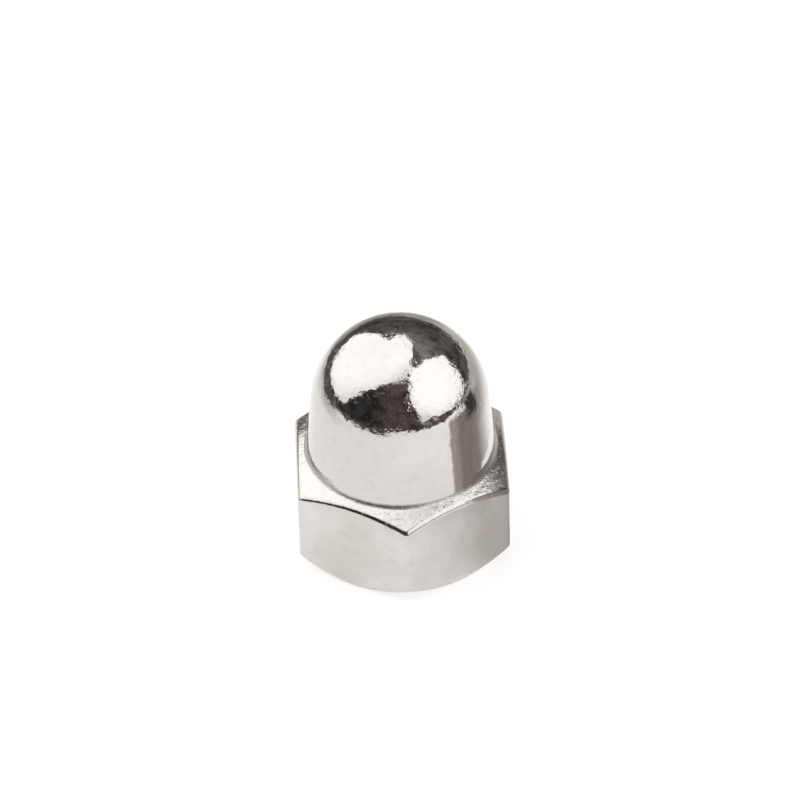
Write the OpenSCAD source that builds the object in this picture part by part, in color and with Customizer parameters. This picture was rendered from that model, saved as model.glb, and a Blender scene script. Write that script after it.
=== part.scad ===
// Domed cap nut, M6 coarse: a hexagon with a blind tapped hole, closed by a round dome.
//
// The nut is one piece of metal. The origin is the centre of its seat face, +Z runs up the
// axis to the top of the dome, and one corner of the hexagon points along -Y.
// All lengths are in millimetres and all angles in degrees.

/* [Hexagon] */
// Width across the flats, the size of the spanner that turns it
across_flats = 10; // [9.4:0.1:13]
// Height of the hexagon, from the seat face to the foot of the dome
hex_h = 5.05; // [3:0.05:8]
// Rounding of the six upright corners
corner_r = 0.25; // [0.05:0.05:0.6]
// How far the ring-shaped seat face stays inside the flats
seat_inset = 0.1; // [0.05:0.05:0.4]
// Slope of the chamfer that surrounds the seat face
seat_slope = 45; // [15:1:55]
// Slope of the chamfer that falls from the dome to the corners
shoulder_slope = 28; // [10:1:40]

/* [Dome] */
// Diameter of the dome at its foot
dome_d = 9; // [8:0.1:9.2]
// Height of the tapered skirt between the hexagon and the round crown
skirt_h = 3.1; // [1:0.05:8]
// Taper of the skirt on each side
skirt_draft = 5.4; // [0.5:0.1:8]
// How far outside the foot of the dome the slope of the shoulder starts
ledge_w = 0.06; // [0.04:0.02:0.3]
// Radius of the hollow fillet that runs from the dome out onto the shoulder
foot_fillet = 0.25; // [0.1:0.05:0.8]

/* [Tapped hole] */
// Nominal diameter of the thread
thread_d = 6; // [5:0.25:6.5]
// Pitch of the thread
thread_pitch = 1; // [0.5:0.25:1.25]
// How much wider than the thread the mouth is, on each side
mouth_clearance = 0.68; // [0.3:0.02:1]
// Depth of the steep band just inside the mouth
band_h = 0.5; // [0.1:0.05:1]
// Taper of that band on each side
band_draft = 17; // [5:1:30]
// Angle of the countersink that leads into the thread, from side to side
countersink_angle = 72; // [60:1:120]
// Angle of the point that the drill leaves at the bottom, from side to side
drill_angle = 120; // [90:1:140]
// Metal between the tip of the drill point and the top of the dome
crown_wall = 1.3; // [0.8:0.1:3]

/* [Hidden] */
$fn = 96;
// Cutters reach this far past the faces that they cut
past = 1;
// Rounds cross the faces that they run into by this much, so that they meet in one clean edge
seam = 0.001;
// The fillet leaves at least this much of the shoulder at the middle of each flat
least_shoulder = 0.05;

// Hexagon: its sharp corners and the circle on which the corner roundings are centred
corner_reach = across_flats / sqrt(3);
rounding_reach = (across_flats / 2 - corner_r) / cos(30);
seat_r = across_flats / 2 - seat_inset;

// Dome: the crown is a ball that continues the tapered skirt without an edge
foot_r = dome_d / 2;
skirt_top_r = foot_r - skirt_h * tan(skirt_draft);
crown_r = skirt_top_r / cos(skirt_draft);
skirt_top_z = hex_h + skirt_h;
crown_z = skirt_top_z - crown_r * sin(skirt_draft);
total_h = crown_z + crown_r;

// Foot of the dome: the fillet touches the skirt and the slope of the shoulder
ledge_r = foot_r + ledge_w;
fillet_turn = 90 - skirt_draft - shoulder_slope;
fillet_room = (across_flats / 2 - foot_r - least_shoulder)
    / (cos(shoulder_slope) * tan(fillet_turn / 2));
fillet_r = min(foot_fillet, fillet_room);
fillet_rise = (tan(shoulder_slope) * (ledge_w - fillet_r / cos(skirt_draft)) + fillet_r / cos(shoulder_slope))
    / (1 - tan(shoulder_slope) * tan(skirt_draft));
fillet_x = foot_r + fillet_r / cos(skirt_draft) - fillet_rise * tan(skirt_draft);
fillet_z = hex_h + fillet_rise;

// Tapped hole: its wall is the minor diameter of the ISO thread, 5/8 H deep on each side
thread_sharp_h = thread_pitch * sqrt(3) / 2;
bore_r = thread_d / 2 - thread_sharp_h * 5 / 8;
mouth_r = thread_d / 2 + mouth_clearance;
band_top_r = mouth_r - band_h * tan(band_draft);
countersink_top_z = band_h + (band_top_r - bore_r) / tan(countersink_angle / 2);
drill_tip_z = total_h - crown_wall;
bore_top_z = drill_tip_z - bore_r / tan(drill_angle / 2);

// Outline of the hexagon seen from above, with round corners
module hexagon_outline() {
    for (i = [0:5])
        rotate(60 * i - 90)
            translate([rounding_reach, 0])
                circle(r = corner_r);
    polygon([
        for (i = [0:5], side = [-1, 1])
            let (corner = 60 * i - 90)
                [
                    rounding_reach * cos(corner) + corner_r * cos(corner + 30 * side),
                    rounding_reach * sin(corner) + corner_r * sin(corner + 30 * side)
                ]
    ]);
}

// Turned envelope that gives the hexagon its two chamfers
module chamfer_envelope() {
    reach = corner_reach + past;
    rotate_extrude()
        polygon([
            [0, 0],
            [seat_r, 0],
            [reach, (reach - seat_r) * tan(seat_slope)],
            [reach, hex_h - (reach - ledge_r) * tan(shoulder_slope)],
            [ledge_r, hex_h],
            [0, hex_h]
        ]);
}

module hexagon_body() {
    intersection() {
        linear_extrude(height = hex_h)
            hexagon_outline();
        chamfer_envelope();
    }
}

// Half section of the dome: skirt and crown, with the hollow fillet at the foot
module dome_section() {
    fillet_end = [fillet_x - fillet_r * sin(shoulder_slope), fillet_z - fillet_r * cos(shoulder_slope)];
    intersection() {
        difference() {
            polygon([
                [0, hex_h - past],
                [fillet_end[0], hex_h - past],
                fillet_end,
                [fillet_x - fillet_r * cos(skirt_draft), fillet_z - fillet_r * sin(skirt_draft)],
                [foot_r - (total_h + past - hex_h) * tan(skirt_draft), total_h + past],
                [0, total_h + past]
            ]);
            translate([fillet_x, fillet_z])
                circle(r = fillet_r + seam);
        }
        union() {
            translate([0, crown_z])
                circle(r = crown_r + seam);
            translate([0, hex_h - 2 * past])
                square([fillet_x, skirt_h + 2 * past]);
        }
    }
}

module dome_body() {
    rotate_extrude()
        dome_section();
}

// Everything that is cut out for the screw: mouth, countersink, bore and drill point
module tapped_hole() {
    rotate_extrude()
        polygon([
            [0, -past],
            [mouth_r + past * tan(band_draft), -past],
            [band_top_r, band_h],
            [bore_r, countersink_top_z],
            [bore_r, bore_top_z],
            [0, drill_tip_z]
        ]);
}

module cap_nut() {
    color([0.80, 0.79, 0.77])
        difference() {
            union() {
                hexagon_body();
                dome_body();
            }
            tapped_hole();
        }
}

cap_nut();
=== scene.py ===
"""Domed cap nut in bright plate, standing on its seat on a white table.

The nut's sizes are in millimetres, and its finished mesh is in metres.
"""

import math

import bpy
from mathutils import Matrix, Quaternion, Vector


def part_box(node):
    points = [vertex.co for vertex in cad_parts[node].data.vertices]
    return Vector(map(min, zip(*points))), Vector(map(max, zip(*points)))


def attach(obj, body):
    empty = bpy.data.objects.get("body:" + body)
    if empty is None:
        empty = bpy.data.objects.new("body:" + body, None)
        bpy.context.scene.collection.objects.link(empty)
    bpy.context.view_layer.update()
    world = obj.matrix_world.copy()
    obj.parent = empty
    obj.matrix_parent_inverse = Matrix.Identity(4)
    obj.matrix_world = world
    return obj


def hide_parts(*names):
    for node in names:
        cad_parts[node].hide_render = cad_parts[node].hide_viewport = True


MM = 0.001
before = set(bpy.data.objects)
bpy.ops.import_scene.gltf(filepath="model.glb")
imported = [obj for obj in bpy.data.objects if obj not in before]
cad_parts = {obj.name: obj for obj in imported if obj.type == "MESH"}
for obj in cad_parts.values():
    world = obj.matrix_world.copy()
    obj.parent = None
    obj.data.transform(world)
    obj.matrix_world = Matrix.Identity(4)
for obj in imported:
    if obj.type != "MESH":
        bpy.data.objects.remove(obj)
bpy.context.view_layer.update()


# --- The nut ------------------------------------------------------------------------------
# One blank of metal: a hexagon chamfered on both ends, with a tapered dome turned on top of
# it and a blind hole drilled, countersunk and tapped from the seat. The whole skin is one
# closed sheet that runs from the top of the dome, down and round the seat, to the drill tip.


class Nodes:
    """Adds nodes to one node tree and wires them."""

    def __init__(self, tree):
        self.tree = tree

    def add(self, kind, settings=None, inputs=None, output=0):
        node = self.tree.nodes.new(kind)
        for name, value in (settings or {}).items():
            setattr(node, name, value)
        for key, value in (inputs or {}).items():
            if isinstance(value, Value):
                self.tree.links.new(value.socket, node.inputs[key])
            else:
                node.inputs[key].default_value = value
        return Value(self, node.outputs[output]) if node.outputs else None

    def math(self, operation, *values):
        return self.add("ShaderNodeMath", {"operation": operation}, dict(enumerate(values)))

    def split(self, vector):
        """The X, Y and Z of a vector."""
        parts = self.add("ShaderNodeSeparateXYZ", inputs={0: vector})
        return [parts.other(axis) for axis in "XYZ"]

    def place(self, output):
        """One output of Texture Coordinate, such as Object or UV."""
        return self.add("ShaderNodeTexCoord", output=output)

    def smooth(self, value, low, high):
        """0 where the value is at low and 1 where it is at high, with an S-curve between."""
        return self.add(
            "ShaderNodeMapRange",
            {"interpolation_type": "SMOOTHSTEP"},
            {"Value": value, "From Min": low, "From Max": high},
        )

    def blend(self, share, first, second):
        """The first colour where the share is 0 and the second where it is 1."""
        return self.add("ShaderNodeMix", {"data_type": "RGBA"}, {0: share, 6: first, 7: second}, 2)

    def brighten(self, colour, times):
        return self.add("ShaderNodeVectorMath", {"operation": "SCALE"}, {0: colour, "Scale": times})


class Value:
    """A node's output that takes part in Python arithmetic by adding Math nodes."""

    def __init__(self, nodes, socket):
        self.nodes = nodes
        self.socket = socket

    def other(self, name):
        """Another output of the same node."""
        return Value(self.nodes, self.socket.node.outputs[name])

    def __add__(self, other):
        return self.nodes.math("ADD", self, other)

    def __radd__(self, other):
        return self.nodes.math("ADD", other, self)

    def __sub__(self, other):
        return self.nodes.math("SUBTRACT", self, other)

    def __rsub__(self, other):
        return self.nodes.math("SUBTRACT", other, self)

    def __mul__(self, other):
        return self.nodes.math("MULTIPLY", self, other)

    def __rmul__(self, other):
        return self.nodes.math("MULTIPLY", other, self)

    def __truediv__(self, other):
        return self.nodes.math("DIVIDE", self, other)

    def __rtruediv__(self, other):
        return self.nodes.math("DIVIDE", other, self)

    def __gt__(self, other):
        return self.nodes.math("GREATER_THAN", self, other)

    def __abs__(self):
        return self.nodes.math("ABSOLUTE", self)


# Sizes of the nut, with the width across the flats from the solid's own box
nut_low, nut_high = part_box("cap_nut")
NUT_SIZES = {
    "Across flats": (nut_high.x - nut_low.x) / MM,
    "Hexagon height": 5.05,
    "Corner radius": 0.25,
    "Upper edge radius": 0.32,
    "Lower edge radius": 0.3,
    "Corner wear": 1.2,
    "Seat edge radius": 0.05,
    "Seat inset": 0.1,
    "Dome diameter": 9.0,
    "Skirt height": 3.1,
    "Ledge width": 0.06,
    "Fillet radius": 0.25,
    "Thread diameter": 6.0,
    "Thread pitch": 1.0,
    "Root clearance": 0.05,
    "Mouth clearance": 0.68,
    "Band height": 0.5,
    "Crown wall": 1.3,
    "Full thread depth": 7.6,
}
SEAT_SLOPE = math.radians(45)
SHOULDER_SLOPE = math.radians(28)
SKIRT_DRAFT = math.radians(5.4)
BAND_DRAFT = math.radians(17)
COUNTERSINK_HALF = math.radians(36)
DRILL_HALF = math.radians(60)
THREAD_FLANK = math.radians(60)
# The crown stands this far proud of the skirt, as it does in the solid
SEAM = 0.001

# Columns of the mesh: from the middle of a flat to its end, and round half a corner
FLAT_COLUMNS = 18
CORNER_COLUMNS = 5
SECTOR_COLUMNS = 2 * (FLAT_COLUMNS + CORNER_COLUMNS)
SIDES = 6
COLUMNS = SIDES * SECTOR_COLUMNS

tree = bpy.data.node_groups.new("turned and tapped nut", "GeometryNodeTree")
nodes = Nodes(tree)
tree.interface.new_socket("Geometry", in_out="OUTPUT", socket_type="NodeSocketGeometry")
identifiers = {}
for name in NUT_SIZES:
    socket = tree.interface.new_socket(name, in_out="INPUT", socket_type="NodeSocketFloat")
    identifiers[name] = socket.identifier
group_input = nodes.add("NodeGroupInput")


def size(name):
    """The nut's size of that name, which is an input of the tree."""
    return group_input.other(name)


def sine(angle):
    return nodes.math("SINE", angle)


def cosine(angle):
    return nodes.math("COSINE", angle)


def pick(condition, chosen, otherwise):
    """The first value where the condition holds, and the second elsewhere."""
    return nodes.add(
        "GeometryNodeSwitch",
        {"input_type": "FLOAT"},
        {"Switch": condition, "False": otherwise, "True": chosen},
    )


def crowded(share):
    """Moves rows towards both ends of a flat stretch, so that it shades flat up to its edges."""
    for _ in range(2):
        share = (1 - cosine(share * math.pi)) / 2
    return share


def line(start, end):
    """A straight stretch of the section between two (radius, height) points."""
    def at(share):
        even = crowded(share)
        return tuple(a + (b - a) * even for a, b in zip(start, end))
    return at


def arc(centre, radius, first, last):
    """A round stretch of the section, between two directions in radians."""
    def at(share):
        angle = share * (last - first) + first
        return centre[0] + radius * cosine(angle), centre[1] + radius * sine(angle)
    return at


def on_arc(centre, radius, angle):
    """The point of a round stretch in one direction."""
    return centre[0] + radius * math.cos(angle), centre[1] + radius * math.sin(angle)


def nut_section(hexagon_r, turn):
    """The stretches of the section at one angle, from the top of the dome to the drill tip.

    Each is a number of rows, its shape and the finish that it gets. hexagon_r is the radius
    of the hexagon at that angle, and turn is the angle in turns.
    """
    up = math.pi / 2
    out = 0
    down = -math.pi / 2
    inward = math.pi

    # Dome: a ball that continues the tapered skirt without an edge
    hexagon_h = size("Hexagon height")
    foot_r = size("Dome diameter") / 2
    skirt_top_z = hexagon_h + size("Skirt height")
    skirt_top_r = foot_r - size("Skirt height") * math.tan(SKIRT_DRAFT)
    crown_r = skirt_top_r / math.cos(SKIRT_DRAFT)
    crown_z = skirt_top_z - crown_r * math.sin(SKIRT_DRAFT)

    # Foot of the dome: a hollow fillet that touches the skirt and the shoulder's slope
    fillet_r = size("Fillet radius")
    ledge_r = foot_r + size("Ledge width")
    taper = math.tan(SKIRT_DRAFT)
    lean = 1 / math.cos(SKIRT_DRAFT)
    drop = math.tan(SHOULDER_SLOPE)
    slope = 1 / math.cos(SHOULDER_SLOPE)
    rise = (drop * (ledge_r - foot_r - fillet_r * lean) + fillet_r * slope) / (1 - drop * taper)
    fillet = (foot_r + fillet_r * lean - rise * taper, hexagon_h + rise)
    fillet_top = inward + SKIRT_DRAFT
    fillet_end = inward + up - SHOULDER_SLOPE

    # Edges of the hexagon: each round touches the flat and one chamfer, and tumbling has
    # worn the corners rounder than the middles of the flats
    worn = (hexagon_r * 2 / size("Across flats") - 1) * size("Corner wear") + 1
    upper_r = size("Upper edge radius") * worn
    upper_z = hexagon_h - (hexagon_r - ledge_r) * drop + upper_r * (drop - slope)
    upper = (hexagon_r - upper_r, upper_z)
    seat_r = size("Across flats") / 2 - size("Seat inset")
    seat_drop = math.tan(SEAT_SLOPE)
    lower_r = size("Lower edge radius") * worn
    lower_z = (hexagon_r - seat_r) * seat_drop - lower_r * (seat_drop - 1 / math.cos(SEAT_SLOPE))
    lower = (hexagon_r - lower_r, lower_z)
    shoulder = (on_arc(fillet, fillet_r, fillet_end), on_arc(upper, upper_r, up - SHOULDER_SLOPE))

    # Seat: its outer and inner edges are broken with a smaller round
    soft = size("Seat edge radius")
    mouth_r = size("Thread diameter") / 2 + size("Mouth clearance")
    band_slope = up - BAND_DRAFT
    ring = (seat_r - soft * math.tan(SEAT_SLOPE / 2), soft)
    lip = (mouth_r + soft * math.tan(band_slope / 2), soft)
    bevel = (on_arc(lower, lower_r, down + SEAT_SLOPE), on_arc(ring, soft, down + SEAT_SLOPE))

    # Hole: band, countersink and tapped wall, then the cone that the drill leaves
    band_h = size("Band height")
    band_top_r = mouth_r - band_h * math.tan(BAND_DRAFT)
    pitch = size("Thread pitch")
    bore_r = size("Thread diameter") / 2 - pitch * (math.sqrt(3) / 2 * 5 / 8)
    tip_z = crown_z + crown_r - size("Crown wall")
    bore_top_z = tip_z - bore_r / math.tan(DRILL_HALF)

    def tapped_wall(share):
        """A right-hand ISO groove in the bore, cut back by the countersink at the mouth."""
        root_flat = 1 / 8
        root_round, run_out_round, crest_round, countersink_round = 0.07, 0.05, 0.06, 0.03
        run_out_slope = 0.5
        height = band_h + (bore_top_z - band_h) * share
        phase = nodes.math("FRACT", height / pitch - turn + SIDES)
        from_groove = abs(phase - 0.5)
        root_r = size("Thread diameter") / 2 + size("Root clearance")
        flank = (from_groove - root_flat / 2) * pitch * math.tan(THREAD_FLANK)
        groove = nodes.math("SMOOTH_MIN", root_r - flank, root_r, root_round)
        run_out = (height - size("Full thread depth")) / pitch * run_out_slope
        groove = nodes.math("SMOOTH_MIN", groove, root_r - run_out, run_out_round)
        wall = nodes.math("SMOOTH_MAX", groove, bore_r, crest_round)
        cone = band_top_r - (height - band_h) * math.tan(COUNTERSINK_HALF)
        return nodes.math("SMOOTH_MAX", wall, cone, countersink_round), height

    return [
        (44, arc((0, crown_z), crown_r + SEAM, up, SKIRT_DRAFT), "dome"),
        (10, line((skirt_top_r, skirt_top_z), on_arc(fillet, fillet_r, fillet_top)), "dome"),
        (7, arc(fillet, fillet_r, fillet_top, fillet_end), "foot"),
        (7, line(*shoulder), "chamfer"),
        (5, arc(upper, upper_r, up - SHOULDER_SLOPE, out), "edge"),
        (10, line((hexagon_r, upper[1]), (hexagon_r, lower[1])), "flat"),
        (5, arc(lower, lower_r, out, down + SEAT_SLOPE), "edge"),
        (7, line(*bevel), "chamfer"),
        (4, arc(ring, soft, down + SEAT_SLOPE, down), "seat"),
        (8, line((ring[0], 0), (lip[0], 0)), "seat"),
        (5, arc(lip, soft, down, down - band_slope), "hole"),
        (7, line(on_arc(lip, soft, down - band_slope), (band_top_r, band_h)), "hole"),
        (190, tapped_wall, "hole"),
        (8, line((bore_r, bore_top_z), (0, tip_z)), "hole"),
    ]


# A grid gives each point its column and its row, both counted from 0. The seam between the
# first and the last column runs up the corner at -Y, and is welded at the end. The nudge
# makes sure that a column on the border of two sectors counts to the second one.
NUDGE = 0.0001
grid_x, grid_y, _ = nodes.split(nodes.add("GeometryNodeInputPosition"))
column = nodes.math("ROUND", (grid_x + 0.5) * COLUMNS)
sector = nodes.math("FLOOR", column / SECTOR_COLUMNS + NUDGE)
across = column - sector * SECTOR_COLUMNS - SECTOR_COLUMNS / 2

# Outline of the hexagon, seen from above in the direction of the sector's flat
corner_r = size("Corner radius")
corner_centre = size("Across flats") / 2 - corner_r
half_flat = corner_centre / math.cos(math.pi / SIDES) * math.sin(math.pi / SIDES)
flat_share = nodes.math("MINIMUM", abs(across) / FLAT_COLUMNS, 1)
corner_share = nodes.math("MAXIMUM", abs(across) - FLAT_COLUMNS, 0) / CORNER_COLUMNS
corner_angle = corner_share * (math.pi / SIDES)
outward = corner_centre + corner_r * cosine(corner_angle)
sideways = nodes.math("SIGN", across) * (
    half_flat * sine(flat_share * (math.pi / 2)) + corner_r * sine(corner_angle)
)
facing = (sector + 0.5) * (2 * math.pi / SIDES) - math.pi / 2
outline_x = outward * cosine(facing) - sideways * sine(facing)
outline_y = outward * sine(facing) + sideways * cosine(facing)
outline_r = nodes.math("SQRT", outward * outward + sideways * sideways)
turn = nodes.math("ARCTAN2", outline_y, outline_x) / (2 * math.pi)

# Each row lies on one stretch of the section, and each finish is kept as a mask of its own
stretches = nut_section(outline_r, turn)
ROWS = sum(count for count, _, _ in stretches)
row = nodes.math("ROUND", (grid_y + 0.5) * ROWS)
radius = height = 0
finishes = dict.fromkeys(("foot", "chamfer", "edge", "flat", "seat", "hole"), 0)
first = 0
for count, stretch, finish in stretches:
    here = row > first - 0.5
    r, z = stretch((row - first) / count)
    radius = pick(here, r, radius)
    height = pick(here, z, height)
    for name, mask in finishes.items():
        finishes[name] = pick(here, float(name == finish), mask)
    first += count
radius = nodes.math("MAXIMUM", radius, 0)

shape = nodes.add(
    "GeometryNodeMeshGrid",
    inputs={"Size X": 1.0, "Size Y": 1.0, "Vertices X": COLUMNS + 1, "Vertices Y": ROWS + 1},
)
for name, mask in finishes.items():
    shape = nodes.add(
        "GeometryNodeStoreNamedAttribute",
        {"data_type": "FLOAT", "domain": "POINT"},
        {"Geometry": shape, "Name": name, "Value": mask},
    )
position = nodes.add(
    "ShaderNodeCombineXYZ",
    inputs={
        "X": radius * outline_x / outline_r * MM,
        "Y": radius * outline_y / outline_r * MM,
        "Z": height * MM,
    },
)
# The weld closes the seam and gathers the top of the dome and the drill tip into one point
WELD = 1e-7
shape = nodes.add("GeometryNodeSetPosition", inputs={"Geometry": shape, "Position": position})
shape = nodes.add("GeometryNodeMergeByDistance", inputs={"Geometry": shape, "Distance": WELD})
shape = nodes.add("GeometryNodeSetShadeSmooth", inputs={"Geometry": shape, "Shade Smooth": True})
shape = nodes.add("GeometryNodeRealizeInstances", inputs={"Geometry": shape})

# Bright nickel plate over a formed and turned surface. Polishing leaves a mirror with a fine
# orange peel. It reaches the foot of the dome and the hole less, and they stay duller.
plate = bpy.data.materials.new("bright plate")
plate.use_nodes = True
plate.node_tree.nodes.clear()
paint = Nodes(plate.node_tree)
place = paint.place("Object")


def noise(scale, detail=1, seed=0):
    """Noise on the nut's own coordinates, with lumps about the scale in millimetres apart."""
    spread = paint.add(
        "ShaderNodeVectorMath",
        {"operation": "MULTIPLY_ADD"},
        {0: place, 1: (1 / (scale * MM),) * 3, 2: (seed,) * 3},
    )
    return paint.add("ShaderNodeTexNoise", inputs={"Vector": spread, "Scale": 1.0, "Detail": detail})


# The dome is what the other finishes leave, and its round crown starts between two heights
CROWN_FROM, CROWN_FULL = 7.8, 8.8
masks = {
    name: paint.add("ShaderNodeAttribute", {"attribute_name": name}, output="Fac")
    for name in finishes
}
dome = 1
for mask in masks.values():
    dome = dome - mask
masks["crown"] = dome * paint.smooth(paint.split(place)[2] / MM, CROWN_FROM, CROWN_FULL)
masks["skirt"] = dome - masks["crown"]


def amounts(**shares):
    """An amount that differs from one part of the skin to another."""
    return sum(masks[name] * share for name, share in shares.items())


# Relief in millimetres, from the widest waves to the finest grain
waves = noise(0.75)
peel = noise(0.24, seed=7)
grain = noise(0.085, seed=3)
pits = paint.smooth(noise(0.16, detail=2, seed=11), 0.46, 0.30)
clusters = paint.smooth(noise(1.6, seed=13), 0.48, 0.60)
blisters = paint.smooth(noise(0.17, seed=9), 0.52, 0.70) * clusters
relief = (
    waves * amounts(crown=0.016, skirt=0.011, flat=0.010, chamfer=0.014, hole=0.006)
    + peel * amounts(crown=0.0060, skirt=0.0022, flat=0.0030, chamfer=0.0080)
    + peel * amounts(foot=0.0100, edge=0.0080, hole=0.0025)
    + grain * amounts(crown=0.0010, skirt=0.0010, flat=0.0006, chamfer=0.0034)
    + grain * amounts(foot=0.0036, edge=0.0020, seat=0.0012, hole=0.0010)
    - pits * amounts(chamfer=0.0070, foot=0.0085, flat=0.0006)
    + blisters * amounts(crown=0.0035)
)
bump = paint.add("ShaderNodeBump", inputs={"Strength": 1.0, "Distance": MM, "Height": relief})

# Colour: faint warm clouds, heavier on the flats, that are partly tarnish and partly painted
# shade standing in for darker reflections in the flats, and a duller skin where the polish
# doesn't reach
CLEAN_PLATE = (0.690, 0.660, 0.637, 1)
TARNISH_AND_SHADE_PLATE = (0.560, 0.520, 0.490, 1)
DULL_PLATE = (0.400, 0.365, 0.345, 1)
# Painted shade: the clouds darken and warm the plate at random, more on the flats, partly for the
# darker mottled reflections there
tarnish_and_shade_clouds = paint.smooth(noise(4.2, detail=2, seed=5), 0.40, 0.66)
specks = paint.smooth(noise(0.5, detail=3, seed=2), 0.45, 0.80)
tarnish_and_painted_shade = tarnish_and_shade_clouds * (0.35 + amounts(flat=0.35)) + specks * 0.3
tone = paint.blend(tarnish_and_painted_shade, CLEAN_PLATE, TARNISH_AND_SHADE_PLATE)
tone = paint.blend(amounts(foot=0.40, hole=0.25, edge=0.15), tone, DULL_PLATE)

# Roughness: flecks are fine spots that the polishing has missed
flecks = paint.smooth(noise(0.20, detail=3, seed=4), 0.50, 0.72)
rough = (
    0.065
    + specks * 0.02
    + flecks * amounts(crown=0.16, skirt=0.048, chamfer=0.16, edge=0.16)
    + amounts(flat=0.02, chamfer=0.09, edge=0.08, foot=0.27, seat=0.12, hole=0.04)
)
metal = paint.add(
    "ShaderNodeBsdfPrincipled",
    inputs={"Base Color": tone, "Metallic": 1.0, "Roughness": rough, "Normal": bump},
)
paint.add("ShaderNodeOutputMaterial", inputs={"Surface": metal})

shape = nodes.add("GeometryNodeSetMaterial", inputs={"Geometry": shape, "Material": plate})
nodes.add("NodeGroupOutput", inputs={"Geometry": shape})

blank = bpy.data.objects.new("blank", bpy.data.meshes.new("blank"))
bpy.context.scene.collection.objects.link(blank)
forming = blank.modifiers.new("form", "NODES")
forming.node_group = tree
for name, value in NUT_SIZES.items():
    forming[identifiers[name]] = value
formed = blank.evaluated_get(bpy.context.evaluated_depsgraph_get())
nut = bpy.data.objects.new("domed_nut", bpy.data.meshes.new_from_object(formed))
bpy.context.scene.collection.objects.link(nut)
blank.modifiers.remove(forming)
bpy.data.objects.remove(blank)
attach(nut, "root")
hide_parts("cap_nut")


# --- Camera -------------------------------------------------------------------------------
# It looks down on the nut from in front, with one corner of the hexagon nearly facing it.
# It is a long way off for the size of the nut, so the upright edges stay nearly parallel.
LOOK_DOWN = math.radians(40.9)
LOOK_FROM_LEFT = math.radians(1.7)
LEAN = math.radians(1.27)
DISTANCE = 223.6 * MM
RAISE = 1.69 * MM
AIM = Vector((0, 0, 5.6 * MM))
SENSOR = 36
FOCAL_LENGTH = 212.4
NEAREST, FARTHEST = 0.01, 10


def bearing(azimuth, elevation=0.0):
    """Direction from the nut: azimuth 0 is away from the camera and 90 is to the right."""
    a, e = math.radians(azimuth), math.radians(elevation)
    return Vector((math.sin(a) * math.cos(e), math.cos(a) * math.cos(e), math.sin(e)))


camera_data = bpy.data.cameras.new("camera")
camera_data.sensor_width = SENSOR
camera_data.lens = FOCAL_LENGTH
camera_data.clip_start = NEAREST
camera_data.clip_end = FARTHEST
camera = bpy.data.objects.new("camera", camera_data)
bpy.context.scene.collection.objects.link(camera)
bpy.context.scene.camera = camera
back = bearing(180 + math.degrees(LOOK_FROM_LEFT), math.degrees(LOOK_DOWN))
camera_up = (Vector((0, 0, 1)) - back * back.z).normalized()
camera.location = AIM + back * DISTANCE
toward = (AIM + camera_up * RAISE - camera.location).normalized()
camera.rotation_mode = "QUATERNION"
camera.rotation_quaternion = Quaternion(toward, LEAN) @ toward.to_track_quat("-Z", "Y")


# --- Table --------------------------------------------------------------------------------
# A large round sheet of matt white. It gives off most of its own white near the nut, so that
# it stays white where the lamps are dim, and all of it beyond the second radius of GLOW_RADII.
TABLE_GREY = (0.42, 0.42, 0.42, 1)
TABLE_R = 1.4
TABLE_RINGS = 4
TABLE_Z = -0.02 * MM
GLOW_NEAR = 0.72
GLOW_RADII = (0.1, 0.374)
AROUND = 96


def stage_piece(name, points, faces, corners=None):
    """A stage object with its own empty material; corners gives the UV of each face corner."""
    mesh = bpy.data.meshes.new(name)
    mesh.from_pydata(points, [], faces)
    if corners:
        mesh.uv_layers.new(name="UVMap")
        for loop, corner in zip(mesh.uv_layers.active.data, corners):
            loop.uv = corner
    made = bpy.data.objects.new(name, mesh)
    bpy.context.scene.collection.objects.link(made)
    look = bpy.data.materials.new(name)
    look.use_nodes = True
    look.node_tree.nodes.clear()
    mesh.materials.append(look)
    return made, Nodes(look.node_tree)


def glow(look, colour, strength=1.0):
    return look.add("ShaderNodeEmission", inputs={"Color": colour, "Strength": strength})


def cover(look, shader):
    look.add("ShaderNodeOutputMaterial", inputs={"Surface": shader})


def rings_of(profile):
    """Points and faces of a turned sheet, from (radius, height) points."""
    turns = [math.tau * k / AROUND for k in range(AROUND)]
    points = [(r * math.cos(a), r * math.sin(a), z) for r, z in profile for a in turns]
    faces = []
    for ring in range(len(profile) - 1):
        for k in range(AROUND):
            this, after = ring * AROUND + k, ring * AROUND + (k + 1) % AROUND
            faces.append((this, after, after + AROUND, this + AROUND))
    return points, faces


_, cloth = stage_piece(
    "white table",
    *rings_of([(TABLE_R * (1 - ring / TABLE_RINGS), TABLE_Z) for ring in range(TABLE_RINGS + 1)]),
)
rays = cloth.add("ShaderNodeLightPath")
seen = sum(rays.other(kind) for kind in ("Is Camera Ray", "Is Glossy Ray", "Is Transmission Ray"))
x, y, _ = cloth.split(cloth.place("Object"))
distant = cloth.smooth(x * x + y * y, *(r * r for r in GLOW_RADII))
level = cloth.math("MINIMUM", seen, 1) * (distant * (1 - GLOW_NEAR) + GLOW_NEAR)
matt = cloth.add("ShaderNodeBsdfDiffuse", inputs={"Color": TABLE_GREY})
lit = glow(cloth, cloth.brighten((1, 1, 1), level))
cover(cloth, cloth.add("ShaderNodeAddShader", inputs={0: matt, 1: lit}))


# --- Softboxes ----------------------------------------------------------------------------
# Two large cloth-fronted lamps lean over the table, each brighter in the middle than at its
# edges. Their outlines are given as bearings, which is how the dome mirrors them.
WHITE = (1, 1, 1, 1)
BLACK = (0, 0, 0, 1)
STUDIO_R = 0.3
LAMP_CENTRE = Vector((0, 0, 8 * MM))
LAMP_RADIANCE = 1.5
EDGE_LOSS = 0.38
LOSS_FROM, LOSS_FULL = 0.2, 1.4


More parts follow.
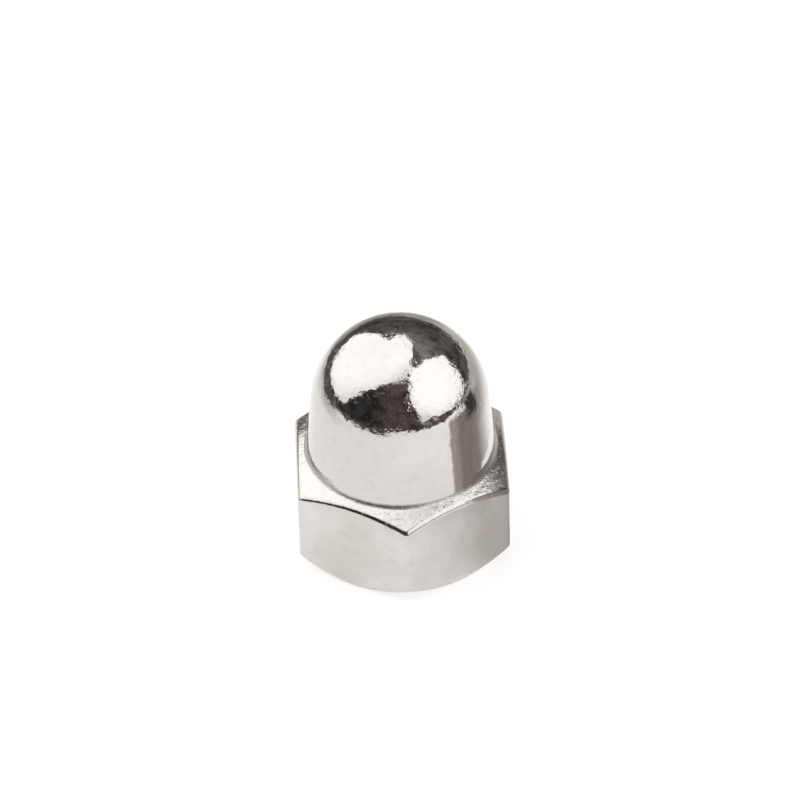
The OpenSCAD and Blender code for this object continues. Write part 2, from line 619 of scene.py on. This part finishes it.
def softbox(name, azimuth, elevation, outline):
    """A flat lamp square to a bearing, with its corners on other bearings."""
    out = bearing(azimuth, elevation)
    side = bearing(azimuth + 90)
    rise = out.cross(side)
    ways = [bearing(*corner) for corner in outline]
    spots = [(way.dot(side) / way.dot(out), way.dot(rise) / way.dot(out)) for way in ways]
    middle = [sum(axis) / len(spots) for axis in zip(*spots)]
    reach = [max(abs(t - m) for t in axis) for axis, m in zip(zip(*spots), middle)]
    lamp, film = stage_piece(
        name,
        [way / way.dot(out) * STUDIO_R + LAMP_CENTRE for way in ways],
        [tuple(range(len(ways)))],
        [tuple((t - m) / r for t, m, r in zip(spot, middle, reach)) for spot in spots],
    )
    lamp.visible_camera = False
    u, v, _ = film.split(film.place("UV"))
    level = 1 - film.smooth(u * u + v * v, LOSS_FROM, LOSS_FULL) * EDGE_LOSS
    cover(film, glow(film, film.blend(level, BLACK, WHITE), LAMP_RADIANCE))


softbox(
    "left softbox",
    azimuth=286,
    elevation=45,
    outline=[
        (261, 7), (303, 2), (319, 3), (332, 9.6), (338, 25), (343, 35), (344, 52),
        (352, 50), (0, 44), (12, 45), (22, 55), (120, 73), (168, 65), (226, 52),
    ],
)
softbox(
    "right softbox",
    azimuth=118,
    elevation=38,
    outline=[
        (60, 34.4), (82, 6.5), (103, 4), (156, 10.5), (164, 39),
        (158, 60.6), (118, 74), (95, 67), (76, 61), (65, 44.5),
    ],
)


# --- Room ---------------------------------------------------------------------------------
# A dim half ball round the studio: near black on the left in front, brown on the right in
# front, and grey at the back, lighter towards the ceiling. Places on it are in radii.
ROOM_R = 1.6
ROOM_RINGS = 24
ROOM_Z = -0.05
NEAR_BLACK = (0.036, 0.034, 0.035, 1)
BROWN = (0.082, 0.062, 0.058, 1)
DIM_GREY = (0.094, 0.086, 0.083, 1)
CEILING_GREY = (0.190, 0.175, 0.168, 1)
MOTTLE_LEAST = 0.5

room_profile = [
    (ROOM_R * math.cos(rise), ROOM_Z + ROOM_R * math.sin(rise))
    for rise in (math.pi / 2 * ring / ROOM_RINGS for ring in range(ROOM_RINGS + 1))
]
room, walls = stage_piece("dim room", *rings_of(room_profile))
room.visible_camera = False
x, y, z = (axis / ROOM_R for axis in walls.split(walls.place("Object")))
ragged = walls.add("ShaderNodeTexNoise", inputs={"Scale": 2.0, "Detail": 2.0})
mottle = walls.add("ShaderNodeTexNoise", inputs={"Scale": 9.0, "Detail": 3.0})
front = walls.blend(walls.smooth(x + ragged * 0.5, -0.36, -0.04), NEAR_BLACK, BROWN)
rear = walls.blend(walls.smooth(z, 0.42, 0.85), DIM_GREY, CEILING_GREY)
wall = walls.blend(walls.smooth(y, -0.15, 0.35), front, rear)
mottled = walls.brighten(wall, walls.smooth(mottle, 0.35, 0.65) + MOTTLE_LEAST)
cover(walls, glow(walls, mottled))


# --- Cards --------------------------------------------------------------------------------
# Thin cards round the nut, which only the metal sees. They glow and paint reflections in it:
# dark ones stood at a distance paint dark surroundings, grey ones laid or sloped on the table
# paint shade on the table, and narrow ones stood close by on the right paint the dark streak
# of a nut beside it. Each fades out at its borders, as an object does that is out of focus.
CARD_STEPS = 16
BANDS_ROUND, BANDS_UP = 9, 1.5
BAND_LEAST, BAND_RANGE = 0.7, 0.6
# Colours of the painted reflections: dark surroundings, shade on the table and a nut beside it
DARK_SURROUND_REFLECTION = (0.10, 0.09, 0.087)
NEIGHBOUR_REFLECTION_DARK = (0.05, 0.045, 0.044)
NEIGHBOUR_REFLECTION_GREY = (0.26, 0.237, 0.222)
NEIGHBOUR_EDGE_REFLECTION_GREY = (0.42, 0.39, 0.37)
BACK_TABLE_SHADE_GREY = (0.40, 0.38, 0.37)
RIGHT_TABLE_SHADE_GREY = (0.60, 0.58, 0.56)
LEFT_TABLE_SHADE_GREY = (0.68, 0.66, 0.64)
NEAR_TABLE_SHADOW_GREY = (0.47, 0.45, 0.435)


def card(name, inner, outer, azimuths, colour, fades):
    """A curved card with uneven bands, between two (radius, height) circles in millimetres.

    fades is how much of its first end, last end, inner border and outer border fades out.
    """
    shares = [k / CARD_STEPS for k in range(CARD_STEPS + 1)]
    points = []
    for share in shares:
        way = bearing(azimuths[0] + (azimuths[1] - azimuths[0]) * share)
        points += [(way * r + Vector((0, 0, z))) * MM for r, z in (inner, outer)]
    faces = [(2 * k, 2 * k + 2, 2 * k + 3, 2 * k + 1) for k in range(CARD_STEPS)]
    corners = []
    for start, end in zip(shares, shares[1:]):
        corners += [(start, 0), (end, 0), (end, 1), (start, 1)]
    piece, board = stage_piece(name, points, faces, corners)
    for kind in ("camera", "diffuse", "shadow"):
        setattr(piece, "visible_" + kind, False)
    place = board.place("UV")
    u, v, _ = board.split(place)
    shown = board.smooth(u, 0, fades[0]) * board.smooth(u, 1, 1 - fades[1])
    shown = shown * board.smooth(v, 0, fades[2]) * board.smooth(v, 1, 1 - fades[3])
    bands = board.add(
        "ShaderNodeVectorMath", {"operation": "MULTIPLY"}, {0: place, 1: (BANDS_ROUND, BANDS_UP, 1)}
    )
    uneven = board.add("ShaderNodeTexNoise", inputs={"Vector": bands, "Scale": 1.0, "Detail": 2.0})
    # Painted reflection: the card glows in its colour, dimmed in uneven bands, and only the metal
    # sees it
    solid = glow(board, board.brighten(colour, uneven * BAND_RANGE + BAND_LEAST))
    clear = board.add("ShaderNodeBsdfTransparent")
    cover(board, board.add("ShaderNodeMixShader", inputs={0: shown, 1: clear, 2: solid}))


# Painted reflections of dark surroundings, stood at a distance at the front left, left and back
card("front left card", (120, 0), (120, 12), (192, 275), DARK_SURROUND_REFLECTION, (0.15, 0.1, 0.01, 0.1))
card("left dark card", (60, 0), (60, 11.5), (258, 345), DARK_SURROUND_REFLECTION, (0.2, 0.15, 0.1, 0.1))
card("back left card", (50, 0), (50, 16), (300, 368), DARK_SURROUND_REFLECTION, (0.3, 0.25, 0.01, 0.3))
# Painted shade: grey cards laid or sloped on the table make it look dimmer in the metal
card("left grey card", (22, 0.1), (58, 0.6), (240, 350), LEFT_TABLE_SHADE_GREY, (0.4, 0.2, 0.6, 0.01))
card("back grey card", (21, 0.1), (90, 12.5), (325, 395), BACK_TABLE_SHADE_GREY, (0.2, 0.3, 0.2, 0.01))
card("right grey card", (15, 0.1), (32, 11), (15, 108), RIGHT_TABLE_SHADE_GREY, (0.2, 0.3, 0.5, 0.05))
# Painted reflection: the dark streak, its lighter edge and its darker top, as a nut beside it would
# mirror
card("streak card", (9.5, 1.3), (9.5, 8.8), (60, 128), NEIGHBOUR_REFLECTION_GREY, (0.60, 0.14, 0.01, 0.08))
card("streak edge", (9.7, 1.3), (9.7, 8.8), (108, 133), NEIGHBOUR_EDGE_REFLECTION_GREY, (0.3, 0.12, 0.01, 0.08))
card("heart card", (9.4, 6.0), (9.4, 9.8), (86, 114), NEIGHBOUR_REFLECTION_DARK, (0.3, 0.3, 0.35, 0.1))
# Painted shadow: a grey card laid on the table close by on the right, seen in the right flat
card("right table card", (5.3, 0.03), (11.6, 0.03), (98, 162), NEAR_TABLE_SHADOW_GREY, (0.01, 0.9, 0.01, 0.1))


# --- Surround -----------------------------------------------------------------------------
# Plain white all round. The table runs out into it, so that no horizon shows behind the nut.
world = bpy.data.worlds.new("white surround")
bpy.context.scene.world = world
world.use_nodes = True
world.node_tree.nodes.clear()
sky = Nodes(world.node_tree)
white = sky.add("ShaderNodeBackground", inputs={"Color": WHITE, "Strength": 1.0})
sky.add("ShaderNodeOutputWorld", inputs={"Surface": white})
bpy.context.scene.view_settings.view_transform = "Standard"
